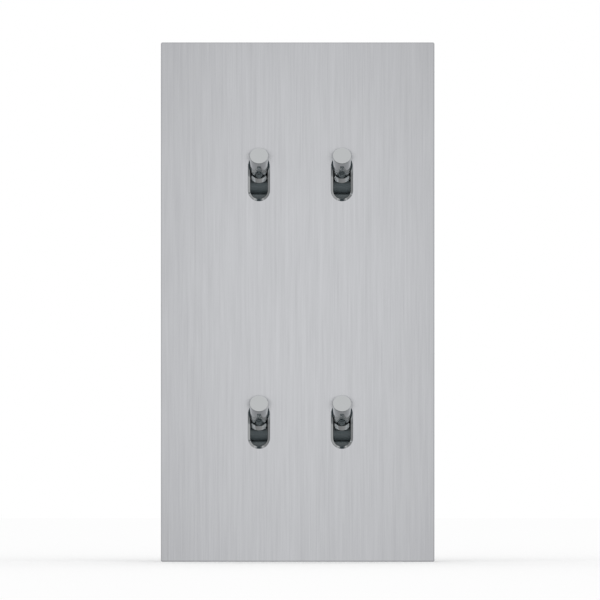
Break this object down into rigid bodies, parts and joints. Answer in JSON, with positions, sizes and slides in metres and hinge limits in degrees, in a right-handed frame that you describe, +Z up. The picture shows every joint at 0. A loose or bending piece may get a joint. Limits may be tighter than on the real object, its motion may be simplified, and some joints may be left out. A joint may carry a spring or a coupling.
{
  "type": "four-gang light switch",
  "caption": "Tall brushed steel wall plate with toggle switches, chrome rings and short polished levers, held by magnets to a frame for wall boxes.",
  "frame": {"origin": "on the wall plane, midway between the two wall boxes, on the line halfway between the levers", "axes": "+Z up the plate, -Y out of the wall towards the person, +X to that person's right"},
  "size_m": [0.0784, 0.0365, 0.149],
  "materials": {
    "plate_steel": "vertical brushed grain",
    "ring_chrome": "polished",
    "lever_chrome": "polished",
    "frame_steel": "zinc plated",
    "magnet": "nickel plated",
    "screw_steel": "zinc plated",
    "pin_steel": "drawn",
    "terminal_brass": "satin",
    "contact_copper": "satin, silver rivets",
    "tumbler_plastic": "moulded, glossy",
    "cover_plastic": "moulded, satin",
    "case_plastic": "moulded, fine texture"
  },
  "bodies": {
    "housing": {"face_plate": "plate_steel", "mounting_frame": "frame_steel", "plate_magnets": "magnet", "fixing_screws": "screw_steel", "terminal_screws": "screw_steel", "upper_earth_terminal": "terminal_brass", "lower_earth_terminal": "terminal_brass", "upper_left_bezel": "ring_chrome", "upper_left_pivot_pin": "pin_steel", "upper_left_common_terminal": "terminal_brass", "upper_left_upper_contact": "terminal_brass", "upper_left_lower_contact": "terminal_brass", "upper_left_switch_cover": "cover_plastic", "upper_left_switch_case": "case_plastic", "upper_right_bezel": "ring_chrome", "upper_right_pivot_pin": "pin_steel", "upper_right_common_terminal": "terminal_brass", "upper_right_upper_contact": "terminal_brass", "upper_right_lower_contact": "terminal_brass", "upper_right_switch_cover": "cover_plastic", "upper_right_switch_case": "case_plastic", "lower_left_bezel": "ring_chrome", "lower_left_pivot_pin": "pin_steel", "lower_left_common_terminal": "terminal_brass", "lower_left_upper_contact": "terminal_brass", "lower_left_lower_contact": "terminal_brass", "lower_left_switch_cover": "cover_plastic", "lower_left_switch_case": "case_plastic", "lower_right_bezel": "ring_chrome", "lower_right_pivot_pin": "pin_steel", "lower_right_common_terminal": "terminal_brass", "lower_right_upper_contact": "terminal_brass", "lower_right_lower_contact": "terminal_brass", "lower_right_switch_cover": "cover_plastic", "lower_right_switch_case": "case_plastic"},
    "upper_left_toggle": {"upper_left_lever": "lever_chrome", "upper_left_tumbler": "tumbler_plastic", "upper_left_plunger_spring": "pin_steel"},
    "upper_left_plunger_body": {"upper_left_plunger": "terminal_brass"},
    "upper_left_rocker": {"upper_left_rocker_contact": "contact_copper"},
    "upper_right_toggle": {"upper_right_lever": "lever_chrome", "upper_right_tumbler": "tumbler_plastic", "upper_right_plunger_spring": "pin_steel"},
    "upper_right_plunger_body": {"upper_right_plunger": "terminal_brass"},
    "upper_right_rocker": {"upper_right_rocker_contact": "contact_copper"},
    "lower_left_toggle": {"lower_left_lever": "lever_chrome", "lower_left_tumbler": "tumbler_plastic", "lower_left_plunger_spring": "pin_steel"},
    "lower_left_plunger_body": {"lower_left_plunger": "terminal_brass"},
    "lower_left_rocker": {"lower_left_rocker_contact": "contact_copper"},
    "lower_right_toggle": {"lower_right_lever": "lever_chrome", "lower_right_tumbler": "tumbler_plastic", "lower_right_plunger_spring": "pin_steel"},
    "lower_right_plunger_body": {"lower_right_plunger": "terminal_brass"},
    "lower_right_rocker": {"lower_right_rocker_contact": "contact_copper"}
  },
  "joints": [
    {"name": "upper_left_lever_tilt", "type": "hinge", "parent": "housing", "child": "upper_left_toggle", "pos_m": [-0.0119, 0.001, 0.0355], "axis": [1, 0, 0], "range_deg": [0, 60]},
    {"name": "upper_left_plunger_stroke", "type": "slide", "parent": "upper_left_toggle", "child": "upper_left_plunger_body", "axis": [0, -0.866, 0.5], "range_m": [0, 0.0006], "stiffness_N_per_m": 20, "springref_m": -0.001, "deforming": ["upper_left_plunger_spring"]},
    {"name": "upper_left_rocker_tip", "type": "hinge", "parent": "housing", "child": "upper_left_rocker", "pos_m": [-0.0119, 0.01045, 0.0355], "axis": [1, 0, 0], "range_deg": [-20, 0]},
    {"name": "upper_right_lever_tilt", "type": "hinge", "parent": "housing", "child": "upper_right_toggle", "pos_m": [0.0119, 0.001, 0.0355], "axis": [1, 0, 0], "range_deg": [0, 60]},
    {"name": "upper_right_plunger_stroke", "type": "slide", "parent": "upper_right_toggle", "child": "upper_right_plunger_body", "axis": [0, -0.866, 0.5], "range_m": [0, 0.0006], "stiffness_N_per_m": 20, "springref_m": -0.001, "deforming": ["upper_right_plunger_spring"]},
    {"name": "upper_right_rocker_tip", "type": "hinge", "parent": "housing", "child": "upper_right_rocker", "pos_m": [0.0119, 0.01045, 0.0355], "axis": [1, 0, 0], "range_deg": [-20, 0]},
    {"name": "lower_left_lever_tilt", "type": "hinge", "parent": "housing", "child": "lower_left_toggle", "pos_m": [-0.0119, 0.001, -0.0355], "axis": [1, 0, 0], "range_deg": [0, 60]},
    {"name": "lower_left_plunger_stroke", "type": "slide", "parent": "lower_left_toggle", "child": "lower_left_plunger_body", "axis": [0, -0.866, 0.5], "range_m": [0, 0.0006], "stiffness_N_per_m": 20, "springref_m": -0.001, "deforming": ["lower_left_plunger_spring"]},
    {"name": "lower_left_rocker_tip", "type": "hinge", "parent": "housing", "child": "lower_left_rocker", "pos_m": [-0.0119, 0.01045, -0.0355], "axis": [1, 0, 0], "range_deg": [-20, 0]},
    {"name": "lower_right_lever_tilt", "type": "hinge", "parent": "housing", "child": "lower_right_toggle", "pos_m": [0.0119, 0.001, -0.0355], "axis": [1, 0, 0], "range_deg": [0, 60]},
    {"name": "lower_right_plunger_stroke", "type": "slide", "parent": "lower_right_toggle", "child": "lower_right_plunger_body", "axis": [0, -0.866, 0.5], "range_m": [0, 0.0006], "stiffness_N_per_m": 20, "springref_m": -0.001, "deforming": ["lower_right_plunger_spring"]},
    {"name": "lower_right_rocker_tip", "type": "hinge", "parent": "housing", "child": "lower_right_rocker", "pos_m": [0.0119, 0.01045, -0.0355], "axis": [1, 0, 0], "range_deg": [-20, 0]}
  ],
  "couplings": [
    {"joint": "upper_left_rocker_tip", "follows": "upper_left_lever_tilt", "ratio": -0.33333},
    {"joint": "upper_right_rocker_tip", "follows": "upper_right_lever_tilt", "ratio": -0.33333},
    {"joint": "lower_left_rocker_tip", "follows": "lower_left_lever_tilt", "ratio": -0.33333},
    {"joint": "lower_right_rocker_tip", "follows": "lower_right_lever_tilt", "ratio": -0.33333}
  ]
}
